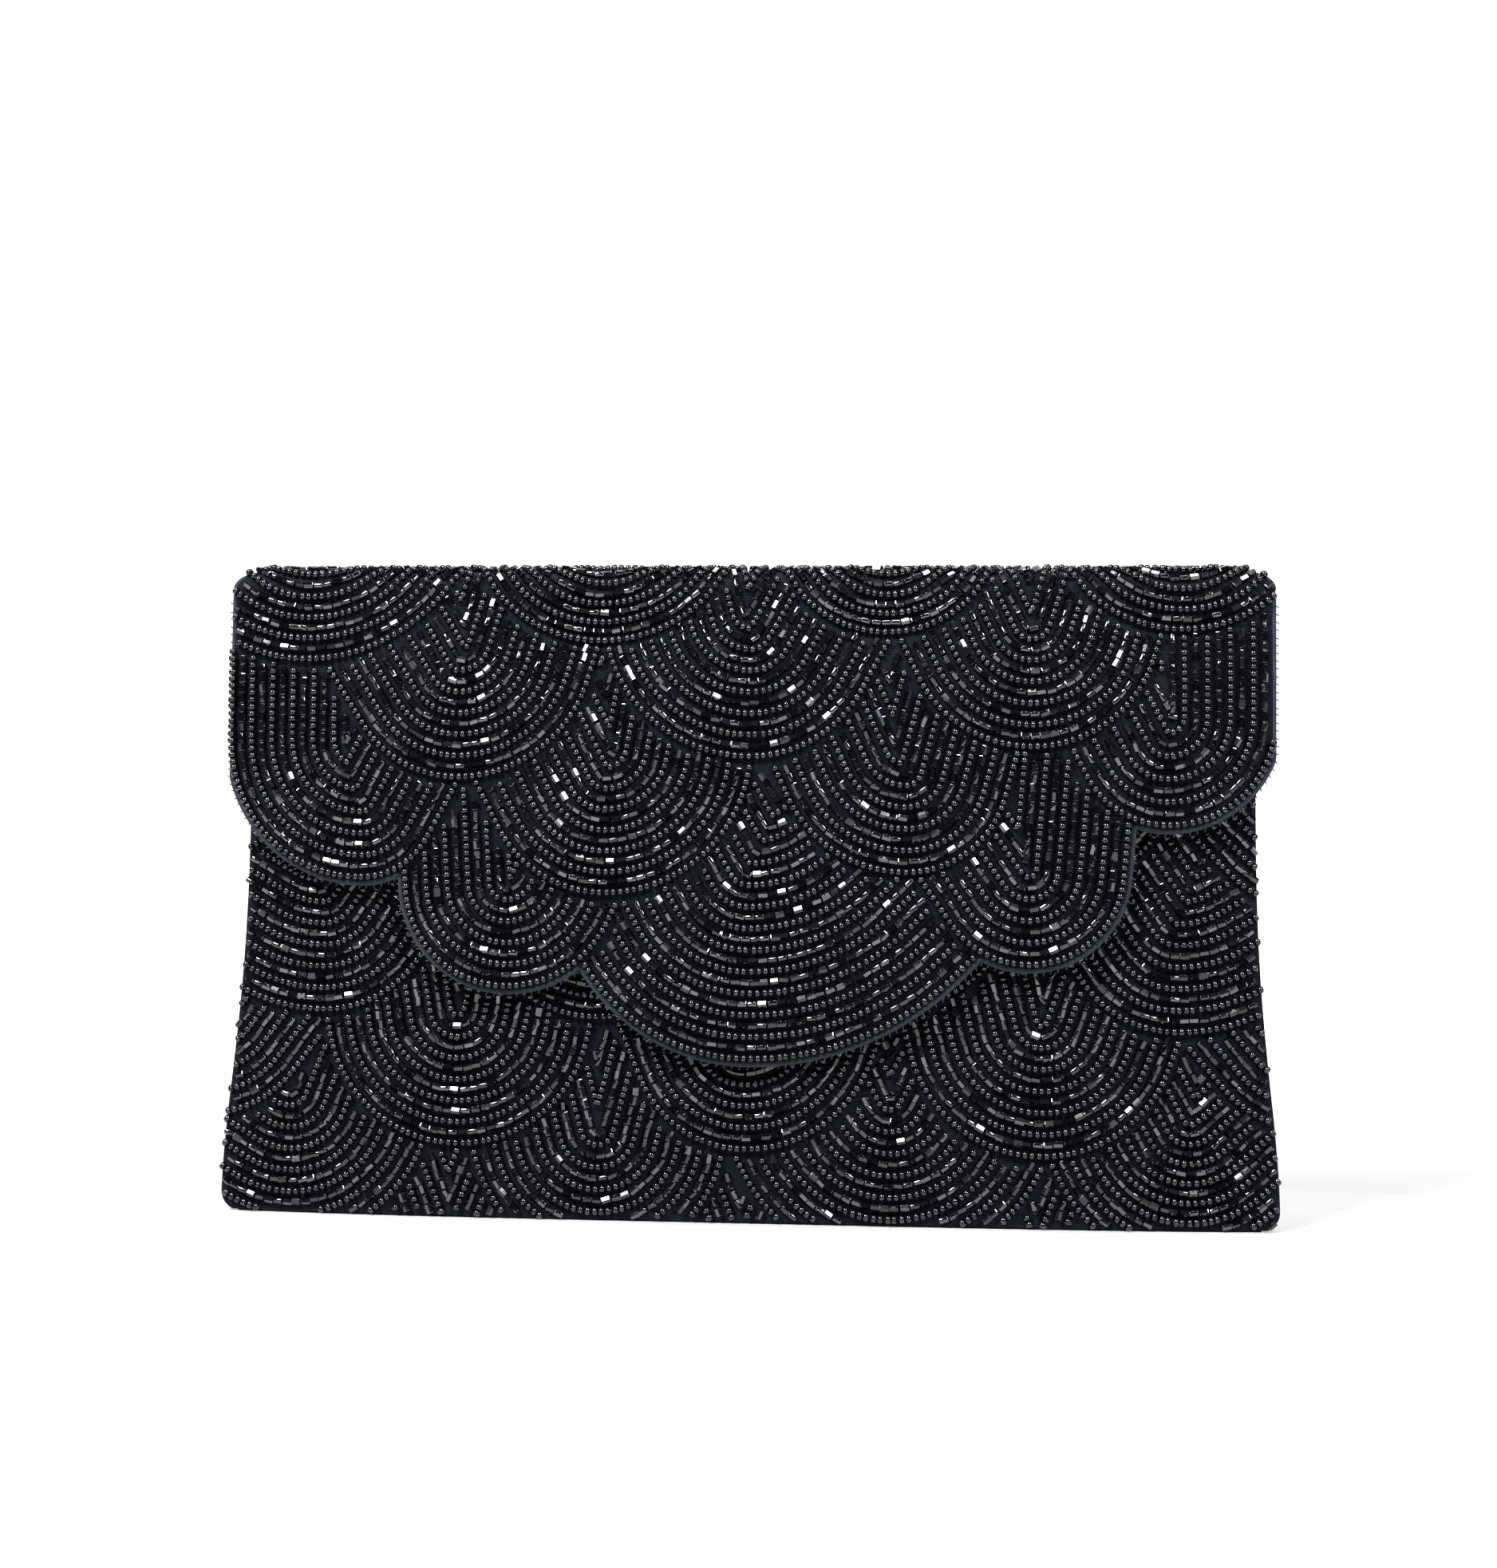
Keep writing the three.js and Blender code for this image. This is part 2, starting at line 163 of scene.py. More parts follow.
def corner_cut(z, low, radius):
    """How much narrower an outline is at a height inside a round corner that starts at low."""
    gone = np.clip(radius - (z - low), 0, radius)
    return radius - np.sqrt(radius**2 - gone**2)


def front_half_width(z):
    return body_half_width(z) - corner_cut(z, 0, BASE_CORNER)


def cover_half_width(v):
    """Half the long cloth's width: round corners at the fold and at the back's lower edge."""
    angle = np.pi * np.clip((v - FOLD_HEIGHT) / FOLD_LENGTH, 0, 1)
    height = np.where(v < FOLD_HEIGHT, v, FOLD_HEIGHT + FOLD_RADIUS * np.sin(angle))
    top = corner_cut(FOLD_HEIGHT + FOLD_RADIUS - height, 0, TOP_CORNER)
    back_z = np.clip(COVER_END - v, 0, None)
    back = back_half_width(back_z) - corner_cut(back_z, 0, BASE_CORNER)
    return np.where(v > COVER_TOP, np.minimum(back, FLAP_HALF_WIDTH), FLAP_HALF_WIDTH - top)


# ---- Scales of beadwork ----
ROW_PITCH = 2.65
SEED_STEP = 1.75
BUGLE_STEP = 2.45
# From a bead's middle to the end that stays on the cloth.
BEAD_REACH = {"seed": 0.4, "bugle": 0.95}
# From a higher scale's outermost row to the beads that end at it.
SCALE_CLEARANCE = {"seed": 1.85, "bugle": 2.1}
# How far the beads stop short of the outlines.
COVER_EDGE = 0.6
FRONT_EDGE = 0.3
LOWER_EDGE = 0.9
MOUTH_EDGE = 1.5
SNAP_GAP = 0.9
LINE_STEP = 0.1  # between the points that draw a row
ARM_LENGTH = 150.0
MOST_ROWS = 60
FLAP_OVERHANG = 0.3  # how far the flap's beads may pass its outermost row's middle


class Scale:
    """One scallop of beadwork, given by its outermost row. The row hangs from its lowest point as two
    arcs, [radius, lean in degrees], and each arc goes on as a straight arm at that lean from level.
    A higher layer lies over a lower one."""

    def __init__(self, layer, x, low, left, right, pitch=ROW_PITCH):
        self.layer, self.x, self.low, self.pitch = layer, x, low, pitch
        self.sides = [(-1, left[0], math.radians(left[1])), (1, right[0], math.radians(right[1]))]

    def depth(self, x, z):
        """How far points lie inside the outermost row."""
        inside = np.full(np.shape(x), 1e9)
        for sign, radius, lean in self.sides:
            across, up = sign * (x - self.x), z - self.low - radius
            nearest = np.clip(np.arctan2(across, -up), 0, lean)
            for angle in (0, lean, nearest):
                reach = radius - np.sin(angle) * across + np.cos(angle) * up
                inside = np.minimum(inside, reach)
        return inside

    def row(self, depth):
        """The line that lies that far inside the outermost row, from left to right."""
        halves = []
        for sign, radius, lean in self.sides:
            rest = radius - depth
            turn = np.arange(0, lean, LINE_STEP / max(rest, 1)) if rest > 0 else np.zeros(0)
            end = rest * math.sin(lean), self.low + radius - rest * math.cos(lean)
            start = end if rest > 0 else (rest * math.tan(lean / 2), self.low + depth)
            run = np.arange(0, ARM_LENGTH, LINE_STEP)
            across = np.append(rest * np.sin(turn), start[0] + run * math.cos(lean))
            arc_up = self.low + radius - rest * np.cos(turn)
            up = np.append(arc_up, start[1] + run * math.sin(lean))
            points = np.stack([self.x + sign * across, up], 1)
            halves.append(points[::-1] if sign < 0 else points)
        points = np.concatenate(halves)
        return points[self.depth(points[:, 0], points[:, 1]) > depth - 1e-3]


FLAP_EDGE_SCALES = [
    Scale(3, -95, 84.8, (35, 90), (19, 62), 2.72),
    Scale(3, 104, 99.3, (22, 62), (26.5, 90), 2.8),
    Scale(2, -58, 58.3, (25.5, 86), (28, 65)),
    Scale(2, 70.5, 65.1, (23, 55), (23, 85)),
    Scale(1, 2, 41.3, (47, 60), (72, 45)),
]
FLAP_SCALES = FLAP_EDGE_SCALES + [
    Scale(5, -110, 139.5, (42, 50), (42, 50)),
    Scale(5, -35.5, 144.1, (35, 60), (35, 60), 2.4),
    Scale(5, 35.5, 146.4, (28, 57), (28, 57), 2.4),
    Scale(5, 107.8, 147.4, (33, 55), (33, 55), 2.5),
    Scale(4, -71, 109.9, (29, 57), (33.8, 75)),
    Scale(4, 2, 115.4, (37, 75), (31, 62)),
    Scale(4, 71, 118.2, (31, 65), (31, 72)),
    Scale(3, -33.7, 81.5, (30, 62), (36, 80), 2.57),
    Scale(3, 40.5, 87.2, (32, 65), (25, 75)),
]
FRONT_SCALES = [
    Scale(6, 141, 79, (30, 45), (25, 60)),
    Scale(6, -141, 88, (25, 60), (30, 45)),
    Scale(5, -106, 51.5, (48, 29), (30, 55), 2.7),
    Scale(5, -36, 50.7, (31, 65), (31, 65)),
    Scale(5, 37, 54, (31, 65), (31, 65)),
    Scale(5, 107, 48.8, (28, 55), (48, 30)),
    Scale(4, -71, 18.7, (33.5, 80), (33.5, 78)),
    Scale(4, 1, 18.6, (28, 68), (33, 70)),
    Scale(4, 74, 18.1, (33, 75), (33, 70)),
    Scale(3, -137, 24.5, (25, 60), (30, 52)),
    Scale(3, 141, 25, (30, 49), (25, 60)),
    Scale(2, -114, -5.3, (40.6, 30), (36.6, 68), 2.7),
    Scale(2, -35.5, -8.6, (31.6, 75), (31.6, 75), 2.75),
    Scale(2, 37, -8.9, (40.6, 62), (40.6, 62), 2.7),
    Scale(2, 110, -7.3, (34.8, 62), (36.8, 42), 2.4),
]
LATTICE_WIDTH = 73  # between scales of one row
LATTICE_HEIGHT = 29.5  # between rows


def lattice(first_layer, first_low, rows, shifted):
    """Rows of equal scales, each row half a scale aside from the one below and lying over it."""
    scales = []
    for row in range(rows):
        offset = 0.5 * LATTICE_WIDTH if (row + shifted) % 2 else 0
        low = first_low + row * LATTICE_HEIGHT
        for k in range(-2, 3):
            x = k * LATTICE_WIDTH + offset
            scales.append(Scale(first_layer + row, x, low, (34, 68), (34, 68)))
    return scales


COVER_SCALES = FLAP_SCALES + lattice(6, 175, 6, 0)
FRONT_SCALES += [scale for scale in lattice(6, 82, 1, 0) if abs(scale.x) < BODY_HALF_WIDTH]
FRONT_SCALES += lattice(7, 112, 1, 1) + lattice(1, -45, 1, 0)


def on_flap(x, v, margin):
    """Whether points of the long cloth are inside the flap's scalloped edge."""
    inside = v > MOUTH_HEIGHT
    for scale in FLAP_EDGE_SCALES:
        inside = inside | (scale.depth(x, v) > margin)
    return inside


def cover_has_bead(x, v):
    edge = cover_half_width(v) - COVER_EDGE
    return on_flap(x, v, -FLAP_OVERHANG) & (np.abs(x) < edge) & (v < COVER_END - LOWER_EDGE)


def front_has_bead(x, z):
    edge = front_half_width(z) - FRONT_EDGE
    snap = np.hypot(x, z - SNAP_HEIGHT) < SNAP_RING + SNAP_GAP
    return (np.abs(x) < edge) & (z > LOWER_EDGE) & (z < MOUTH_HEIGHT - MOUTH_EDGE) & ~snap


def places_on(line, step, rng):
    """Places along a line a step apart, and the direction of the line at each."""
    length = np.append(0, np.cumsum(np.hypot(*np.diff(line, axis=0).T)))
    at = np.arange(rng.uniform(0.1, 0.9) * step, length[-1], step)
    at = at + rng.normal(0, 0.05 * step, len(at))

    def point(shift):
        return np.stack([np.interp(at + shift, length, line[:, i]) for i in (0, 1)], 1)

    return point(0), unit(point(0.4 * step) - point(-0.4 * step))


def lay_beads(scales, has_bead, seed):
    """Every bead of a cloth: rows of seeds and bugles by turns. Columns are x, v and direction."""
    rng = np.random.default_rng(seed)
    rows = {"seed": [], "bugle": []}
    for scale in scales:
        above = [other for other in scales if other.layer > scale.layer]
        for k in range(MOST_ROWS):
            kind, step = (("seed", SEED_STEP), ("bugle", BUGLE_STEP))[k % 2]
            line = scale.row(k * scale.pitch)
            if len(line) < 2 * step / LINE_STEP:
                continue
            place, way = places_on(line, step, rng)
            ends = place + way * BEAD_REACH[kind], place - way * BEAD_REACH[kind]
            keep = has_bead(*ends[0].T) & has_bead(*ends[1].T)
            for other in above:
                keep &= other.depth(place[:, 0], place[:, 1]) < -SCALE_CLEARANCE[kind]
            rows[kind].append(np.concatenate([place[keep], way[keep]], 1))
    return {kind: np.concatenate(parts) for kind, parts in rows.items()}


# ---- Bead shapes ----
# Each profile is a closed list of [along the hole, from the hole's axis], turned about the axis.
SEED_PROFILE = [[-0.7, 0.6], [-0.42, 0.93], [0, 1.02], [0.42, 0.93], [0.7, 0.6], [0.6, 0.34]]
SEED_PROFILE += [[-0.6, 0.34]]
BUGLE_PROFILE = [[-1.14, 0.7], [-1.07, 0.83], [-0.94, 0.86], [0.94, 0.86], [1.07, 0.83], [1.14, 0.7]]
BUGLE_PROFILE += [[1.1, 0.38], [-1.1, 0.38]]
ROUNDED_SHARE = 0.3  # of the bugles, whose facets are softened by fire polishing
SEED_SIDES = 11
BUGLE_SIDES = 6
SEED_DEPTH = CLOTH - 1.02  # of a bead's axis, so that the bead rests on the cloth
BUGLE_DEPTH = CLOTH - 0.88
TILT = {"seed": 0.12, "bugle": 0.075}  # the normal spread of their turns, in radians
SIZE_SPREAD = 0.035
LIFT_SPREAD = 0.05  # off the cloth
FACES_PER_PIECE = 195000  # triangles


def turned(profile, sides):
    """Points (along, radial, radial) and faces of a closed profile turned about the first axis."""
    profile = np.array(profile, float)
    angle = 2 * np.pi * np.arange(sides) / sides
    along = np.repeat(profile[:, :1], sides, 1)
    radial = profile[:, 1:] * np.ones(sides)
    points = np.stack([along, radial * np.cos(angle), radial * np.sin(angle)], -1).reshape(-1, 3)
    i, j = np.meshgrid(np.arange(len(profile)), np.arange(sides), indexing="ij")
    i2, j2 = (i + 1) % len(profile), (j + 1) % sides
    corners = [i * sides + j, i * sides + j2, i2 * sides + j2, i2 * sides + j]
    return points, np.stack(corners, -1).reshape(-1, 4)


def mesh_object(name, points, faces, smooth_faces=True, material_index=None):
    """A mesh of quads, from points in millimetres."""
    mesh = bpy.data.meshes.new(name)
    points = (np.asarray(points, np.float32) * MM).astype(np.float32)
    mesh.vertices.add(len(points))
    mesh.vertices.foreach_set("co", points.ravel())
    mesh.loops.add(faces.size)
    mesh.loops.foreach_set("vertex_index", faces.astype(np.int32).ravel())
    mesh.polygons.add(len(faces))
    mesh.polygons.foreach_set("loop_start", np.arange(0, faces.size, 4, dtype=np.int32))
    mesh.polygons.foreach_set("use_smooth", np.zeros(len(faces), bool) | smooth_faces)
    if material_index is not None:
        mesh.polygons.foreach_set("material_index", material_index.astype(np.int32))
    mesh.update(calc_edges=True)
    mesh.validate()
    piece = bpy.data.objects.new(name, mesh)
    bpy.context.scene.collection.objects.link(piece)
    return piece


def bead_points(kind, beads, face, rng):
    """World points of one kind of bead on a face: an array of beads by points by 3, and the faces."""
    profile, sides, depth = {
        "seed": (SEED_PROFILE, SEED_SIDES, SEED_DEPTH),
        "bugle": (BUGLE_PROFILE, BUGLE_SIDES, BUGLE_DEPTH),
    }[kind]
    local, faces = turned(profile, sides)
    count = len(beads)
    place, across, along, normal = face_frame(face, beads[:, 0], beads[:, 1], depth)
    hole = unit(across * beads[:, 2:3] + along * beads[:, 3:4])
    tilt = rng.normal(0, TILT[kind], (count, 2))
    side = unit(np.cross(hole, normal))
    hole = unit(hole + side * tilt[:, :1] + normal * tilt[:, 1:])
    up = unit(normal - hole * np.sum(normal * hole, 1, keepdims=True))
    side = np.cross(hole, up)
    turn = rng.uniform(0, 2 * np.pi, (count, 1))
    first = up * np.cos(turn) + side * np.sin(turn)
    second = np.cross(hole, first)
    size = 1 + rng.normal(0, SIZE_SPREAD, (count, 1, 1))
    basis = np.stack([hole, first, second], 1)
    lift = normal * rng.normal(0, LIFT_SPREAD, (count, 1))
    points = (place + lift)[:, None, :] + size * np.einsum("pk,bkj->bpj", local, basis)
    return points, faces


def bead_pieces(name, kind, beads, face, seed):
    """Pieces of joined beads, none over FACES_PER_PIECE. Returns each with its beads' rows."""
    rng = np.random.default_rng(seed)
    points, faces = bead_points(kind, beads, face, rng)
    materials, shares = zip(*GLASS[kind])
    pick = rng.choice(len(materials), len(beads), p=shares)
    per_piece = FACES_PER_PIECE // (2 * len(faces))
    pieces = []
    for number, start in enumerate(range(0, len(beads), per_piece)):
        some = points[start : start + per_piece]
        offset = np.arange(len(some))[:, None, None] * points.shape[1]
        all_faces = (faces[None] + offset).reshape(-1, 4)
        index = np.repeat(pick[start : start + per_piece], len(faces))
        title = f"{name}_{kind}_beads_{number + 1}"
        rounded = rng.random(len(some)) < (1 if kind == "seed" else ROUNDED_SHARE)
        rounded = np.repeat(rounded, len(faces))
        piece = mesh_object(title, some.reshape(-1, 3), all_faces, rounded, index)
        for material in materials:
            piece.data.materials.append(material)
        pieces.append((piece, beads[start : start + per_piece], points.shape[1]))
    return pieces


# ---- Materials ----
# Patterns read Object coordinates, which are the part's own frame in metres.
class Look:
    """A Principled material with helpers for its procedural inputs."""

    def __init__(self, name, color, roughness, **inputs):
        self.material = bpy.data.materials.new(name)
        self.material.use_nodes = True
        self.nodes = self.material.node_tree.nodes
        self.links = self.material.node_tree.links
        self.shader = self.nodes["Principled BSDF"]
        self.shader.inputs["Base Color"].default_value = (*color, 1)
        self.shader.inputs["Roughness"].default_value = roughness
        for key, value in inputs.items():
            self.shader.inputs[key.replace("_", " ")].default_value = value
        self.place = self.nodes.new("ShaderNodeTexCoord").outputs["Object"]
        self.last_normal = None

    def noise(self, size, detail=3.0):
        """Noise with features of about that size in millimetres."""
        node = self.nodes.new("ShaderNodeTexNoise")
        node.inputs["Scale"].default_value = 1 / (size * MM)
        node.inputs["Detail"].default_value = detail
        self.links.new(self.place, node.inputs["Vector"])
        return node.outputs["Fac"]

    def threads(self, direction, pitch, waver=1.0):
        """Parallel threads, a pitch in millimetres apart along a direction."""
        node = self.nodes.new("ShaderNodeTexWave")
        node.bands_direction = direction
        node.inputs["Scale"].default_value = math.pi / (10 * pitch * MM)
        node.inputs["Distortion"].default_value = waver
        node.inputs["Detail"].default_value = 2
        node.inputs["Detail Scale"].default_value = 0.6
        self.links.new(self.place, node.inputs["Vector"])
        return node.outputs["Fac"]

    def color_between(self, factor, low, high, ends=(0.3, 0.7)):
        ramp = self.nodes.new("ShaderNodeValToRGB")
        for element, at, color in zip(ramp.color_ramp.elements, ends, (low, high)):
            element.position = at
            element.color = (*color, 1)
        self.links.new(factor, ramp.inputs["Fac"])
        self.links.new(ramp.outputs["Color"], self.shader.inputs["Base Color"])

    def value_between(self, factor, low, high, name="Roughness"):
        node = self.nodes.new("ShaderNodeMapRange")
        node.inputs["From Min"].default_value = 0.3
        node.inputs["From Max"].default_value = 0.7
        node.inputs["To Min"].default_value = low
        node.inputs["To Max"].default_value = high
        self.links.new(factor, node.inputs["Value"])
        self.links.new(node.outputs["Result"], self.shader.inputs[name])

    def bump(self, height, distance, strength=1.0):
        """Relief of a distance in millimetres, over any relief already made."""
        node = self.nodes.new("ShaderNodeBump")
        node.inputs["Strength"].default_value = strength
        node.inputs["Distance"].default_value = distance * MM
        self.links.new(height, node.inputs["Height"])
        if self.last_normal:
            self.links.new(self.last_normal, node.inputs["Normal"])
        self.last_normal = node.outputs["Normal"]
        self.links.new(self.last_normal, self.shader.inputs["Normal"])

    def mixed(self, first, second, factor=0.5):
        node = self.nodes.new("ShaderNodeMix")
        node.inputs["Factor"].default_value = factor
        self.links.new(first, node.inputs["A"])
        self.links.new(second, node.inputs["B"])
        return node.outputs["Result"]


def jet_glass(name, color, roughness, ior):
    """Polished black glass, whose coat is clouded here and there by handling."""
    look = Look(name, color, roughness, IOR=ior, Coat_Weight=0.1)
    look.value_between(look.noise(1.5), 0.02, 0.35, "Coat Roughness")
    return look.material


def ribbed_fabric(name, dark, light):
    """Closely woven cloth with fine ribs across it and a mottled dye."""
    look = Look(name, dark, 0.85, Sheen_Weight=0.05, Specular_IOR_Level=0.08)
    ribs, warp = look.threads("Z", 0.42), look.threads("X", 0.3)
    look.color_between(look.mixed(ribs, look.noise(3.5)), dark, light)
    look.value_between(look.noise(1.2), 0.75, 0.95)
    look.bump(ribs, 0.12)
    look.bump(warp, 0.05)
    look.bump(look.noise(0.25), 0.03)
    return look.material


def satin(name, dark, light):
    """Satin: long fine floats along one way, and a soft broken shine."""
    look = Look(name, dark, 0.35, Sheen_Weight=0.05, Specular_IOR_Level=0.3)
    floats = look.threads("X", 0.18, 2.0)
    look.color_between(look.mixed(floats, look.noise(9)), dark, light)
    look.value_between(look.noise(2.2), 0.28, 0.5)
    look.bump(floats, 0.03)
    look.bump(look.noise(6, 2), 0.25)
    return look.material


def stiff_felt(name, dark, light):
    """Interlining: pressed pale fibres."""
    look = Look(name, dark, 0.95)
    look.color_between(look.noise(0.5, 6), dark, light)
    look.value_between(look.noise(2), 0.85, 1)
    look.bump(look.noise(0.3, 5), 0.08)
    return look.material


def thread(name, dark, light):
    """Twisted sewing thread."""
    look = Look(name, dark, 0.6, Sheen_Weight=0.3)
    look.color_between(look.threads("DIAGONAL", 0.25), dark, light)
    look.value_between(look.noise(0.6), 0.5, 0.75)
    look.bump(look.threads("DIAGONAL", 0.25), 0.05)
    return look.material


def plated_metal(name, dark, light, roughness):
    """Plated metal with fine turning marks and handling wear."""
    look = Look(name, light, roughness, Metallic=1.0)
    look.color_between(look.noise(2.5), dark, light)
    look.value_between(look.noise(1.1, 5), roughness * 0.7, roughness * 1.4)
    look.bump(look.noise(0.12, 2), 0.01)
    return look.material


# Each kind of bead is a mix of [glass, share].
GLASS = {
    "seed": [
        (jet_glass("jet_glass", (0.0015, 0.0015, 0.0022), 0.05, 1.62), 0.6),
        (jet_glass("jet_glass_soft", (0.0022, 0.0022, 0.0032), 0.14, 1.5), 0.25),
        (jet_glass("jet_glass_blue", (0.0015, 0.002, 0.005), 0.08, 1.7), 0.15),
    ],
    "bugle": [
        (jet_glass("jet_cut_glass", (0.0015, 0.0015, 0.0022), 0.05, 1.7), 0.45),
        (jet_glass("jet_cut_glass_worn", (0.003, 0.003, 0.004), 0.18, 1.6), 0.2),
        (jet_glass("jet_cut_glass_bright", (0.003, 0.003, 0.005), 0.07, 2.1), 0.35),
    ],
}
GROUND = ribbed_fabric("ground_weave", (0.0025, 0.003, 0.006), (0.008, 0.0095, 0.017))
ROLLED = ribbed_fabric("rolled_edge_weave", (0.018, 0.021, 0.03), (0.05, 0.056, 0.076))
SEAM = ribbed_fabric("seam_weave", (0.004, 0.005, 0.009), (0.012, 0.014, 0.022))
LINING_SATIN = satin("lining_satin_weave", (0.003, 0.003, 0.004), (0.010, 0.010, 0.013))
BINDING_SATIN = satin("binding_satin_weave", (0.005, 0.005, 0.007), (0.016, 0.016, 0.02))
INTERLINING = stiff_felt("interlining_felt", (0.5, 0.47, 0.4), (0.72, 0.69, 0.62))
THREAD = thread("black_thread", (0.008, 0.008, 0.012), (0.03, 0.03, 0.04))
NICKEL = plated_metal("nickel_plate", (0.5, 0.49, 0.46), (0.66, 0.65, 0.62), 0.24)
MAGNET = plated_metal("magnet_steel", (0.1, 0.1, 0.11), (0.2, 0.2, 0.21), 0.4)


def beadwork():
    cover = lay_beads(COVER_SCALES, cover_has_bead, 11)
    front = lay_beads(FRONT_SCALES, front_has_bead, 12)
    for kind in ("seed", "bugle"):
        v = cover[kind][:, 1]
        parts = {
            "flap": cover[kind][v < FOLD_HEIGHT],
            "fold_front": cover[kind][(v >= FOLD_HEIGHT) & (v < FOLD_MIDDLE)],
            "fold_back": cover[kind][(v >= FOLD_MIDDLE) & (v < COVER_TOP)],
            "back": cover[kind][v >= COVER_TOP],
            "front": front[kind],
        }
        for name, beads in parts.items():
            face = front_face if name == "front" else cover_face
            for piece, rows, per_bead in bead_pieces(name, kind, beads, face, len(name)):
                hold(piece, name)


BEADWORK_NODES = {
    "flap": "flap_beadwork",
    "fold_front": "fold_beadwork",
    "fold_back": "fold_beadwork",
    "back": "back_beadwork",
    "front": "front_beadwork",
}


def bend(piece):
    """Bakes a fold piece's placement into its mesh, which leaves it joined to no body."""
    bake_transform(piece)


def hold(piece, part):
    """Joins a piece of beadwork to its body, and stands it in for its CAD node."""
    if part.startswith("fold"):
        bend(piece)
    else:
        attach(piece, "flap" if part == "flap" else "pouch")
    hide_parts(BEADWORK_NODES[part])


# ---- Cloth ----
RIM_DEPTH = 3.3  # the rolled flap edge's axis under the outer face
RIM_AXIS = 1.5  # and outside the outermost seed row
RIM_SIZE = [0.75, 1.15]  # its half width in the flap's plane and through it
THREAD_RADIUS = 0.16
GROUND_INSET = 0.4
MOUTH_INSET = 0.3
LINING_INSET = 2.2
FOLD_LINING_INSET = 1.6
STIFFENER_INSET = 5
STIFFENER_TOP = 2
STIFFENER_LOW = 4
LINING_MARGIN = 0.4  # outside the flap's outermost seed rows
STIFFENER_MARGIN = -1.8
PUCKER = 0.12
FOLD_ROWS = 16
CORNER_LENGTH = 4.6  # of a panel's lower end, where its grid is finer
# The fold's two halves have no body here.
BODY_OF = {"flap": "flap", "back": "pouch", "front": "pouch"}


def outward(points, faces):
    """The faces, turned round if the closed mesh they make is inside out."""
    a, b, c, d = (points[faces[:, i]] for i in range(4))
    volume = np.sum(np.cross(b - a, c - a) * (a + b + c))
    volume = volume + np.sum(np.cross(c - a, d - a) * (a + c + d))
    return faces if volume > 0 else faces[:, ::-1]


def finished(piece, material, slot, body, *nodes, sharp=40):
    piece.data.materials.append(material)
    piece.data.set_sharp_from_angle(angle=math.radians(sharp))
    if body:
        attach(piece, body)
    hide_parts(*nodes)
    return piece


def closed_sheet(name, outer, inner):
    """A closed sheet between two grids of points, each rows by columns by 3."""
    rows, columns = outer.shape[:2]
    points = np.concatenate([outer.reshape(-1, 3), inner.reshape(-1, 3)])
    a = np.arange(rows * columns).reshape(rows, columns)
    b = a + rows * columns

    def quads(p, q, r, t):
        return np.stack([p.ravel(), q.ravel(), r.ravel(), t.ravel()], 1)

    faces = [
        quads(a[:-1, :-1], a[:-1, 1:], a[1:, 1:], a[1:, :-1]),
        quads(b[:-1, :-1], b[1:, :-1], b[1:, 1:], b[:-1, 1:]),
        quads(a[:-1, 0], a[1:, 0], b[1:, 0], b[:-1, 0]),
        quads(a[:-1, -1], b[:-1, -1], b[1:, -1], a[1:, -1]),
        quads(a[0, :-1], b[0, :-1], b[0, 1:], a[0, 1:]),
        quads(a[-1, :-1], a[-1, 1:], b[-1, 1:], b[-1, :-1]),
    ]
    faces = np.concatenate(faces)
    return mesh_object(name, points, outward(points, faces))


def tube(line, side, lift, sizes, sides=12):
    """A tube along a line, with an oval section: sizes along the side and lift directions. Its ends
    narrow to a point's width."""
    count = len(line)
    narrow = np.ones(count)
    narrow[[0, -1]] = 0.04
    narrow[[1, -2]] = 0.75
    angle = 2 * np.pi * np.arange(sides) / sides
    ring = sizes[0] * np.cos(angle)[None, :, None] * side[:, None, :]
    ring = ring + sizes[1] * np.sin(angle)[None, :, None] * lift[:, None, :]
    points = (line[:, None, :] + narrow[:, None, None] * ring).reshape(-1, 3)
    i, j = np.meshgrid(np.arange(count), np.arange(sides), indexing="ij")
    i2 = (i + 1) % count
    j2 = (j + 1) % sides
    index = [i * sides + j, i * sides + j2, i2 * sides + j2, i2 * sides + j]
    faces = np.stack(index, -1)[:-1].reshape(-1, 4)
    return points, faces


def tube_along(name, face, path, depth, sizes, sides=12):
    """A closed tube along a path of a face's own (x, v), with an oval section."""
    place, _, _, normal = face_frame(face, path[:, 0], path[:, 1], depth)
    way = unit(np.gradient(place, axis=0))
    side = unit(np.cross(way, normal))
    points, faces = tube(place, side, normal, sizes, sides)
    ends = np.arange(sides)
    first, last = ends, ends + len(points) - sides
    for loop in (first, last):
        caps = [[loop[k], loop[k + 1], loop[-k - 2], loop[-k - 1]] for k in range(sides // 2 - 1)]
        caps = np.array(caps) if loop is first else np.array(caps)[:, ::-1]
        faces = np.concatenate([faces, caps])
    return mesh_object(name, points, outward(points, faces))


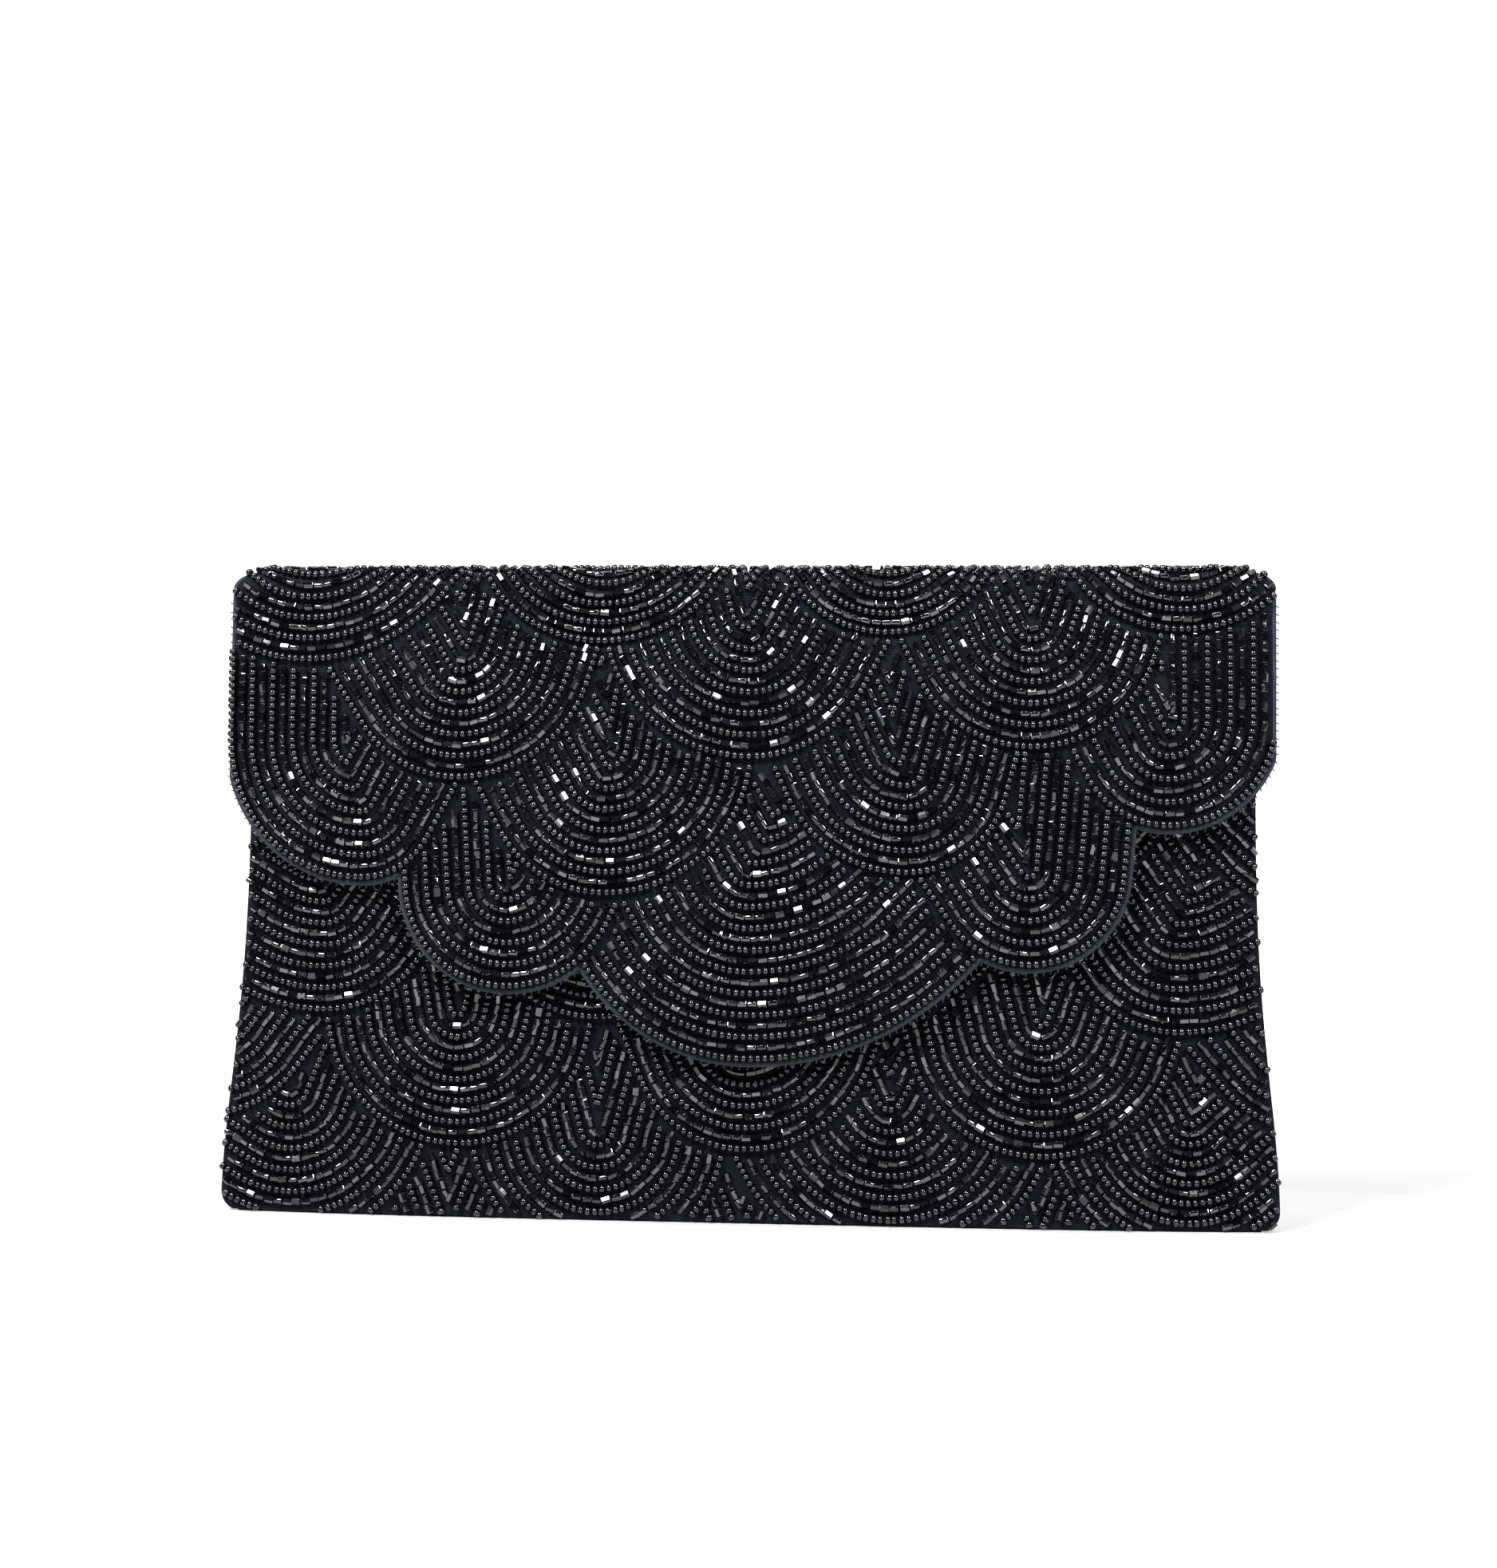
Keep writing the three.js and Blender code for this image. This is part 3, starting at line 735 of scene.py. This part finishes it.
def stitches(name, face, path, depth, step, length, slant=0.0):
    """Thread stitches along a path of a face: capsules a step apart, each turned by a slant from the
    path."""
    radius = THREAD_RADIUS
    rng = np.random.default_rng(len(name))
    place, way = places_on(path, step, rng)
    turn = slant + rng.normal(0, 0.06, len(way))
    cos, sin = np.cos(turn)[:, None], np.sin(turn)[:, None]
    way = way * cos + np.stack([-way[:, 1], way[:, 0]], 1) * sin
    half = length / 2
    profile = [[-half, 0.03], [-0.8 * half, 0.8], [-0.4 * half, 1], [0.4 * half, 1], [0.8 * half, 0.8]]
    profile = [[a, r * radius if r > 0.03 else r] for a, r in profile] + [[half, 0.03]]
    local, faces = turned(profile, 8)
    middle, across, along, normal = face_frame(face, place[:, 0], place[:, 1], depth)
    axis = unit(across * way[:, :1] + along * way[:, 1:])
    side = unit(np.cross(axis, normal))
    basis = np.stack([axis, side, normal], 1)
    arch_height = 0.35 * radius * (1 - (local[:, 0] / half) ** 2)
    world = middle[:, None, :] + np.einsum("pk,bkj->bpj", local, basis)
    world = world + arch_height[None, :, None] * normal[:, None, :]
    offset = np.arange(len(world))[:, None, None] * len(local)
    return mesh_object(name, world.reshape(-1, 3), (faces[None] + offset).reshape(-1, 4))


def flap_lower(x, margin):
    """Height of the flap's scalloped lower edge, drawn margin outside the outermost seed rows."""
    lowest = np.full(np.shape(x), float(MOUTH_HEIGHT))
    for scale in FLAP_EDGE_SCALES:
        for sign, radius, lean in scale.sides:
            across = sign * (x - scale.x)
            radius = radius + margin
            reach = radius * math.sin(lean)
            top = scale.low + radius - margin
            on_arc = top - np.sqrt(np.maximum(radius**2 - across**2, 0))
            arm = top - radius * math.cos(lean) + (across - reach) * math.tan(min(lean, 1.55))
            z = np.where(across <= reach, on_arc, arm)
            lowest = np.where(across >= 0, np.minimum(lowest, z), lowest)
    return lowest


def flap_grid(margin, half_width, top, rows=60, columns=620):
    """A grid of (x, v) over the flap, down to its scalloped edge."""
    t = np.linspace(-1, 1, columns)
    x = half_width * np.sin(t * np.pi / 2) * 0.25 + half_width * t * 0.75
    low = flap_lower(x, margin)
    eased = np.interp(x, x[::8], low[::8])  # the edge without its sharp valleys, for the upper rows
    window = np.hanning(61) / np.hanning(61).sum()
    eased = np.convolve(np.pad(eased, 30, "edge"), window, "valid")
    share = np.linspace(0, 1, rows)[:, None]
    v = eased + (top - eased) * share + (low - eased) * (1 - share) ** 3
    return np.broadcast_to(x, v.shape), v


def strip_grid(half_width, inset, v0, v1, rows=60, columns=120, ends=(0, 0)):
    """A grid of (x, v) between two edges. Its rows are closer together over a length at each end."""
    v = np.linspace(v0 + ends[0], v1 - ends[1], rows)
    turn = np.linspace(0, np.pi / 2, 9)
    if ends[0]:
        v = np.concatenate([v0 + ends[0] * (1 - np.sin(turn[:0:-1])), v])
    if ends[1]:
        v = np.concatenate([v, v1 - ends[1] * (1 - np.sin(turn[1:]))])
    width = half_width(v) - inset
    x = width[:, None] * np.linspace(-1, 1, columns)
    return x, np.broadcast_to(v[:, None], x.shape)


def layer(name, face, grid, depths, relief=0.0):
    """A cloth layer over a grid of (x, v). relief makes its inner face pucker, as loose lining does."""
    x, v = grid
    pucker = np.sin(x / 7.3 + 1.3 * np.sin(v / 19)) * np.sin(v / 23 + x / 61)
    pucker = pucker + 0.6 * np.sin(x / 3.4 + v / 17) * np.sin(v / 9 + 1) - 1
    pucker = pucker * smooth(np.abs(v - FOLD_MIDDLE) / 12 - FOLD_LENGTH / 24)
    outer, inner = depths[0] + 0 * x, depths[1] + relief * pucker
    inner = np.maximum(inner, outer + 0.2)
    return closed_sheet(name, face(x, v, outer), face(x, v, inner))


def add_layer(part, title, grid, depths, look, node, relief=0.0):
    """One layer of one part of the purse. look holds its material and a slot name; the slot name is not
    used.
    """
    face = front_face if part == "front" else cover_face
    piece = layer(f"{part}_{title}", face, grid, depths, relief)
    finished(piece, *look, BODY_OF.get(part), f"{part.split('_')[0]}_{node}")
    if part not in BODY_OF:
        bend(piece)


def cloth_grids(flap, fold_inset, inset):
    """The grids of one layer, by part, which stop that far inside the outlines."""
    top, end = MOUTH_HEIGHT - MOUTH_INSET, COVER_END - inset
    return {
        "flap": flap,
        "fold_front": strip_grid(cover_half_width, fold_inset, FOLD_HEIGHT, FOLD_MIDDLE, FOLD_ROWS),
        "fold_back": strip_grid(cover_half_width, fold_inset, FOLD_MIDDLE, COVER_TOP, FOLD_ROWS),
        "back": strip_grid(cover_half_width, inset, COVER_TOP, end, ends=(0, CORNER_LENGTH)),
        "front": strip_grid(front_half_width, inset, inset, top, ends=(CORNER_LENGTH, 0)),
    }


def add_ground_cloths():
    flap = flap_grid(RIM_AXIS, FLAP_HALF_WIDTH - GROUND_INSET, FOLD_HEIGHT)
    look = (GROUND, "ground_fabric")
    for part, grid in cloth_grids(flap, GROUND_INSET, GROUND_INSET).items():
        add_layer(part, "ground_cloth", grid, (CLOTH, CLOTH_BACK), look, "ground_fabric")


def add_linings():
    """Satin linings, which pucker slightly on the flat panels. The flap's stops short of its rim."""
    flap = flap_grid(LINING_MARGIN, FLAP_HALF_WIDTH - FOLD_LINING_INSET, FOLD_HEIGHT)
    look = (LINING_SATIN, "lining_satin")
    for part, grid in cloth_grids(flap, FOLD_LINING_INSET, LINING_INSET).items():
        relief = PUCKER if part in BODY_OF else 0.0
        add_layer(part, "satin", grid, (LINING_BACK, LINING), look, "lining", relief)


def add_stiffeners():
    """Interlinings, which stop short of every edge."""
    top, low, inset = STIFFENER_TOP, STIFFENER_LOW, STIFFENER_INSET
    flap_width = FLAP_HALF_WIDTH - STIFFENER_LOW
    look = (INTERLINING, "interlining")
    for part, grid in (
        ("flap", flap_grid(STIFFENER_MARGIN, flap_width, FOLD_HEIGHT - top)),
        ("back", strip_grid(cover_half_width, inset, COVER_TOP + top, COVER_END - low)),
        ("front", strip_grid(front_half_width, inset, low, MOUTH_HEIGHT - top)),
    ):
        add_layer(part, "stiffener", grid, STIFFENER, look, "interlining")


def flap_edge_path(margin, top, half_width):
    """The flap's edge from its top left round the scallops to its top right, drawn margin outside
    the outermost seed rows."""
    parts = []
    for scale in sorted(FLAP_EDGE_SCALES, key=lambda each: each.x):
        line = scale.row(-margin)
        # Its arms go on past the flap's sides, where no other scale covers them.
        keep = (line[:, 1] < top) & (np.abs(line[:, 0]) < half_width)
        for other in FLAP_EDGE_SCALES:
            if other is not scale:
                keep &= other.depth(line[:, 0], line[:, 1]) < -margin + 1e-6
        parts.append(line[keep])
    line = np.concatenate(parts)
    left, right = line[0], line[-1]
    start = np.stack([np.full(80, -half_width), np.linspace(top, left[1], 80)], 1)
    end = np.stack([np.full(80, half_width), np.linspace(right[1], top, 80)], 1)
    line = np.concatenate([start, line, end])
    line[:, 0] = np.clip(line[:, 0], -half_width, half_width)
    return evened(line, 0.7)


def evened(line, step):
    """A line's points a step apart, with its corners eased."""
    length = np.append(0, np.cumsum(np.hypot(*np.diff(line, axis=0).T)))
    at = np.linspace(0, length[-1], int(length[-1] / step))
    line = np.stack([np.interp(at, length, line[:, i]) for i in (0, 1)], 1)
    eased = line.copy()
    eased[1:-1] = (line[:-2] + 2 * line[1:-1] + line[2:]) / 4
    return eased


def add_rolled_edge():
    """The flap's rolled edge with its overcast stitches, and its two ends over the fold."""
    edge = FLAP_HALF_WIDTH - RIM_SIZE[0]
    path = flap_edge_path(RIM_AXIS, FOLD_HEIGHT, edge)
    piece = tube_along("flap_rolled_edge", cover_face, path, RIM_DEPTH, RIM_SIZE)
    finished(piece, ROLLED, "ground_fabric", "flap", "flap_edge_hem", sharp=60)
    path = flap_edge_path(RIM_AXIS + RIM_SIZE[0] - 0.1, FOLD_HEIGHT - 2, edge + RIM_SIZE[0] - 0.1)
    piece = stitches("flap_overcast", cover_face, path, RIM_DEPTH, 1.9, 2.0, 1.1)
    finished(piece, THREAD, "seam_fabric", "flap", "flap_edge_hem")
    for part, v0, v1 in (("fold_front", FOLD_HEIGHT, FOLD_MIDDLE), ("fold_back", FOLD_MIDDLE, COVER_TOP)):
        for side, sign in (("left", -1), ("right", 1)):
            v = np.linspace(v0, v1, 24)
            path = np.stack([sign * (cover_half_width(v) - RIM_SIZE[0]), v], 1)
            piece = tube_along(f"{part}_{side}_edge", cover_face, path, RIM_DEPTH, RIM_SIZE)
            finished(piece, ROLLED, "ground_fabric", None, "fold_ground_fabric", sharp=60)
            bend(piece)


SEAM_DEPTH = CLOTH_BACK - 0.1  # of a seam's two long edges, under the panels' faces


def add_side_seam(side, sign):
    """A side seam: a strip between the front and back panels, slightly hollow."""
    z = np.concatenate([np.linspace(1.3, BASE_CORNER, 10), np.linspace(BASE_CORNER + 2, 139, 70)])
    z = z[:, None]
    reach = np.linspace(0, 1, 9)[None, :]
    outer = sign * (front_half_width(z) - 0.6 - 0.5 * np.sin(np.pi * reach))
    inner = sign * (front_half_width(z) - 1.9)
    y0 = face_y(front_face, outer[:, :1], z, SEAM_DEPTH)
    y1 = face_y(cover_face, outer[:, :1], back_v(z), SEAM_DEPTH)
    y = y0 + (y1 - y0) * reach
    grids = [np.stack([x + 0 * y, y, z + 0 * y], -1) for x in (outer, inner)]
    piece = closed_sheet(f"{side}_seam", *grids)
    finished(piece, SEAM, "seam_fabric", "pouch", f"{side}_side_seam")


def add_bottom_seam():
    x = np.linspace(-128, 128, 200)
    y0 = face_y(front_face, x, 0.6, SEAM_DEPTH)
    y1 = face_y(cover_face, x, back_v(0.6), SEAM_DEPTH)
    share = np.linspace(0, 1, 9)
    y = y0[:, None] + (y1 - y0)[:, None] * share
    hollow = 0.35 * np.sin(np.pi * share)[None, :] + 0 * y
    low = np.stack([x[:, None] + 0 * y, y, hollow], -1)
    high = np.stack([x[:, None] + 0 * y, y, 1.2 + 0 * y], -1)
    piece = closed_sheet("bottom_seam", low, high)
    finished(piece, SEAM, "seam_fabric", "pouch", "bottom_seam_strip")


def add_mouth():
    """The bound mouth and the stitches that hold its binding inside."""
    x = np.linspace(-125, 125, 240)
    path = np.stack([x, np.full(240, MOUTH_HEIGHT + 0.1)], 1)
    piece = tube_along("mouth_bound_edge", front_face, path, 2.3, [1.3, 2.35], 16)
    finished(piece, BINDING_SATIN, "binding_satin", "pouch", "mouth_binding", sharp=60)
    path = np.stack([x, np.full(240, MOUTH_HEIGHT - 0.9)], 1)
    piece = stitches("mouth_stitches", front_face, path, LINING + 0.1, 2.6, 1.7)
    finished(piece, THREAD, "binding_satin", "pouch", "mouth_binding")


POCKET = {"half_width": 58, "bottom": 38, "top": 108, "rim": 3}


def add_pocket():
    half, bottom, top = POCKET["half_width"], POCKET["bottom"], POCKET["top"]
    against = LINING + 0.3
    x = np.linspace(-half, half, 90)[None, :]
    z = np.linspace(bottom, top + 1, 60)[:, None]
    x, z = np.broadcast_arrays(x, z)
    ease = np.sin(np.pi * (x + half) / (2 * half)) * smooth((z - bottom) / 40)
    loose = 0.35 * ease + 0.12 * np.sin(x / 5.1 + z / 31) * ease
    outer = cover_face(x, back_v(z), against + loose)
    inner = cover_face(x, back_v(z), against + 0.4 + loose)
    piece = closed_sheet("pocket_cloth", outer, inner)
    finished(piece, LINING_SATIN, "lining_satin", "pouch", "slip_pocket")
    x = np.linspace(-half, half, 120)
    path = np.stack([x, back_v(np.full(120, top + 1.8))], 1)
    piece = tube_along("pocket_bound_edge", cover_face, path, against + 0.75, [1.6, 0.6], 14)
    finished(piece, BINDING_SATIN, "binding_satin", "pouch", "slip_pocket_binding", sharp=60)
    edge = half - 1.4
    corners = np.array([[-edge, top - 1], [-edge, bottom + 1.4], [edge, bottom + 1.4], [edge, top - 1]])
    corners[:, 1] = back_v(corners[:, 1])
    path = evened(corners, 0.5)
    piece = stitches("pocket_stitches", cover_face, path, against + 0.5, 2.4, 1.6)
    finished(piece, THREAD, "lining_satin", "pouch", "slip_pocket")


# ---- Magnetic snap ----
SNAP_SIDES = 72


def spun(name, profile, node, material, slot, body):
    """A closed profile of [radius, y] turned about the snap's axis, in place of its CAD node."""
    points, faces = turned([[y, max(radius, 0.01)] for radius, y in profile], SNAP_SIDES)
    world = np.stack([points[:, 1], points[:, 0], points[:, 2] + SNAP_HEIGHT], 1)
    piece = mesh_object(name, world, outward(world, faces))
    return finished(piece, material, slot, body, node, sharp=35)


def add_snap():
    low, high = (corner[1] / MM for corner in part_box("snap_socket"))
    cup = [[0, high], [6.7, high], [7, high - 0.3], [7, low + 0.55], [6.75, low + 0.15], [6.3, low]]
    cup += [[5.6, low + 0.12], [4.6, low + 0.16], [3.7, low], [3.2, low + 0.02], [3, low + 0.2]]
    cup += [[3, low + 0.45], [6.6, low + 0.45], [6.6, high - 0.4], [0, high - 0.4]]
    spun("snap_cup", cup, "snap_socket", NICKEL, "snap_nickel", "pouch")
    low, high = (corner[1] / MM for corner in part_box("snap_stud"))
    stud = [[0, low], [6.3, low], [6.85, low + 0.12], [7, low + 0.35], [6.9, low + 0.6], [6.5, low + 0.7]]
    stud += [[5.2, low + 0.62], [3.2, low + 0.68], [2.6, low + 0.7], [2.25, low + 0.95]]
    stud += [[2.2, high - 0.35], [2.05, high - 0.08], [1.75, high], [0, high]]
    spun("snap_post", stud, "snap_stud", NICKEL, "snap_nickel", "flap")
    for name, body, material, slot in (
        ("snap_magnet", "pouch", MAGNET, "snap_magnet"),
        ("snap_socket_washer", "pouch", NICKEL, "snap_nickel"),
        ("snap_stud_washer", "flap", NICKEL, "snap_nickel"),
    ):
        (_, low, _), (outer, high, _) = ([c / MM for c in corner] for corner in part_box(name))
        inner = 3.3 if name == "snap_magnet" else 1.2
        ease = 0.12
        ring = [[inner, low + ease], [inner + ease, low], [outer - ease, low], [outer, low + ease]]
        ring += [[outer, high - ease], [outer - ease, high], [inner + ease, high], [inner, high - ease]]
        spun(f"{name}_ring", ring, name, material, slot, body)


beadwork()
add_ground_cloths()
add_linings()
add_stiffeners()
add_rolled_edge()
add_side_seam("left", -1)
add_side_seam("right", 1)
add_bottom_seam()
add_mouth()
add_pocket()
add_snap()


# ---- Floor, light and camera ----
def stage_material(name, glow):
    look = Look(name, (0.86, 0.86, 0.87), 0.7)
    look.color_between(look.noise(40), (0.44, 0.44, 0.445), (0.48, 0.48, 0.48))
    look.bump(look.noise(0.8), 0.02)
    look.shader.inputs["Emission Color"].default_value = (1, 1, 1, 1)
    look.shader.inputs["Emission Strength"].default_value = glow
    return look.material


def add_stage():
    """A pale floor, and behind the purse a pale backdrop that curves up from it."""
    half, front, start, radius, height = 3000, -2500, 350, 1300, 2600
    turn = np.linspace(0, math.pi / 2, 13)
    wall_y = np.concatenate([start + radius * np.sin(turn), [start + radius]])
    wall_z = np.concatenate([radius - radius * np.cos(turn), [height]])
    for name, y, z, glow in (
        ("floor", np.array([front, start]), np.zeros(2), 0.3),
        ("backdrop", wall_y, wall_z, 1.0),
    ):
        x = np.array([-half, half])
        grid = np.stack([x + 0 * y[:, None], y[:, None] + 0 * x, z[:, None] + 0 * x], -1)
        piece = closed_sheet(name, grid, grid + np.array([0, 12.0, -12.0]))
        piece.data.materials.append(stage_material(f"pale_{name}", glow))


def soft_light(name, place, size, power):
    """A soft box aimed at the purse's middle. place is in metres from the purse's middle."""
    data = bpy.data.lights.new(name, "AREA")
    data.shape = "RECTANGLE"
    data.size, data.size_y = size
    data.energy = power
    light = bpy.data.objects.new(name, data)
    middle = Vector((0, 0, 0.08))
    light.location = middle + Vector(place)
    light.rotation_euler = (middle - light.location).to_track_quat("-Z", "Y").to_euler()
    bpy.context.scene.collection.objects.link(light)


def add_lights():
    soft_light("key_box", (-0.6, -0.9, 1.05), (0.45, 0.45), 42)
    soft_light("fill_box", (0.75, -0.9, 0.85), (0.34, 0.34), 20)
    soft_light("top_box", (0.05, -0.1, 1.5), (0.5, 0.25), 10)
    world = bpy.data.worlds.new("studio")
    world.use_nodes = True
    background = world.node_tree.nodes["Background"]
    background.inputs["Color"].default_value = (1, 1, 1, 1)
    path = world.node_tree.nodes.new("ShaderNodeLightPath")
    seen = world.node_tree.nodes.new("ShaderNodeMapRange")
    seen.inputs["To Min"].default_value = 0.03  # as the beads see the room
    seen.inputs["To Max"].default_value = 0.9  # as a view past the floor shows it
    world.node_tree.links.new(path.outputs["Is Camera Ray"], seen.inputs["Value"])
    world.node_tree.links.new(seen.outputs["Result"], background.inputs["Strength"])
    bpy.context.scene.world = world


CAMERA_PLACE = (51.2, -600.0, 83.9)
CAMERA_TURN = math.radians(4.781)
CAMERA_TILT = math.radians(-2.384)
CAMERA_ROLL = math.radians(0.587)
CAMERA_LENS = 57.93


def add_camera():
    forward = Vector((-math.sin(CAMERA_TURN), math.cos(CAMERA_TURN), 0)) * math.cos(CAMERA_TILT)
    forward.z = -math.sin(CAMERA_TILT)
    right = Vector((math.cos(CAMERA_TURN), math.sin(CAMERA_TURN), 0))
    up = right.cross(forward)
    rolled = right * math.cos(CAMERA_ROLL) + up * math.sin(CAMERA_ROLL)
    up = rolled.cross(forward)
    data = bpy.data.cameras.new("camera")
    data.sensor_fit = "HORIZONTAL"
    data.sensor_width = 36
    data.lens = CAMERA_LENS
    data.clip_end = 20
    camera = bpy.data.objects.new("camera", data)
    camera.matrix_world = Matrix.Translation(Vector(CAMERA_PLACE) * MM) @ Matrix(
        (rolled, up, -forward)
    ).transposed().to_4x4()
    bpy.context.scene.collection.objects.link(camera)
    bpy.context.scene.camera = camera


add_stage()
add_lights()
add_camera()
bpy.context.scene.view_settings.view_transform = "Standard"
bpy.context.view_layer.update()
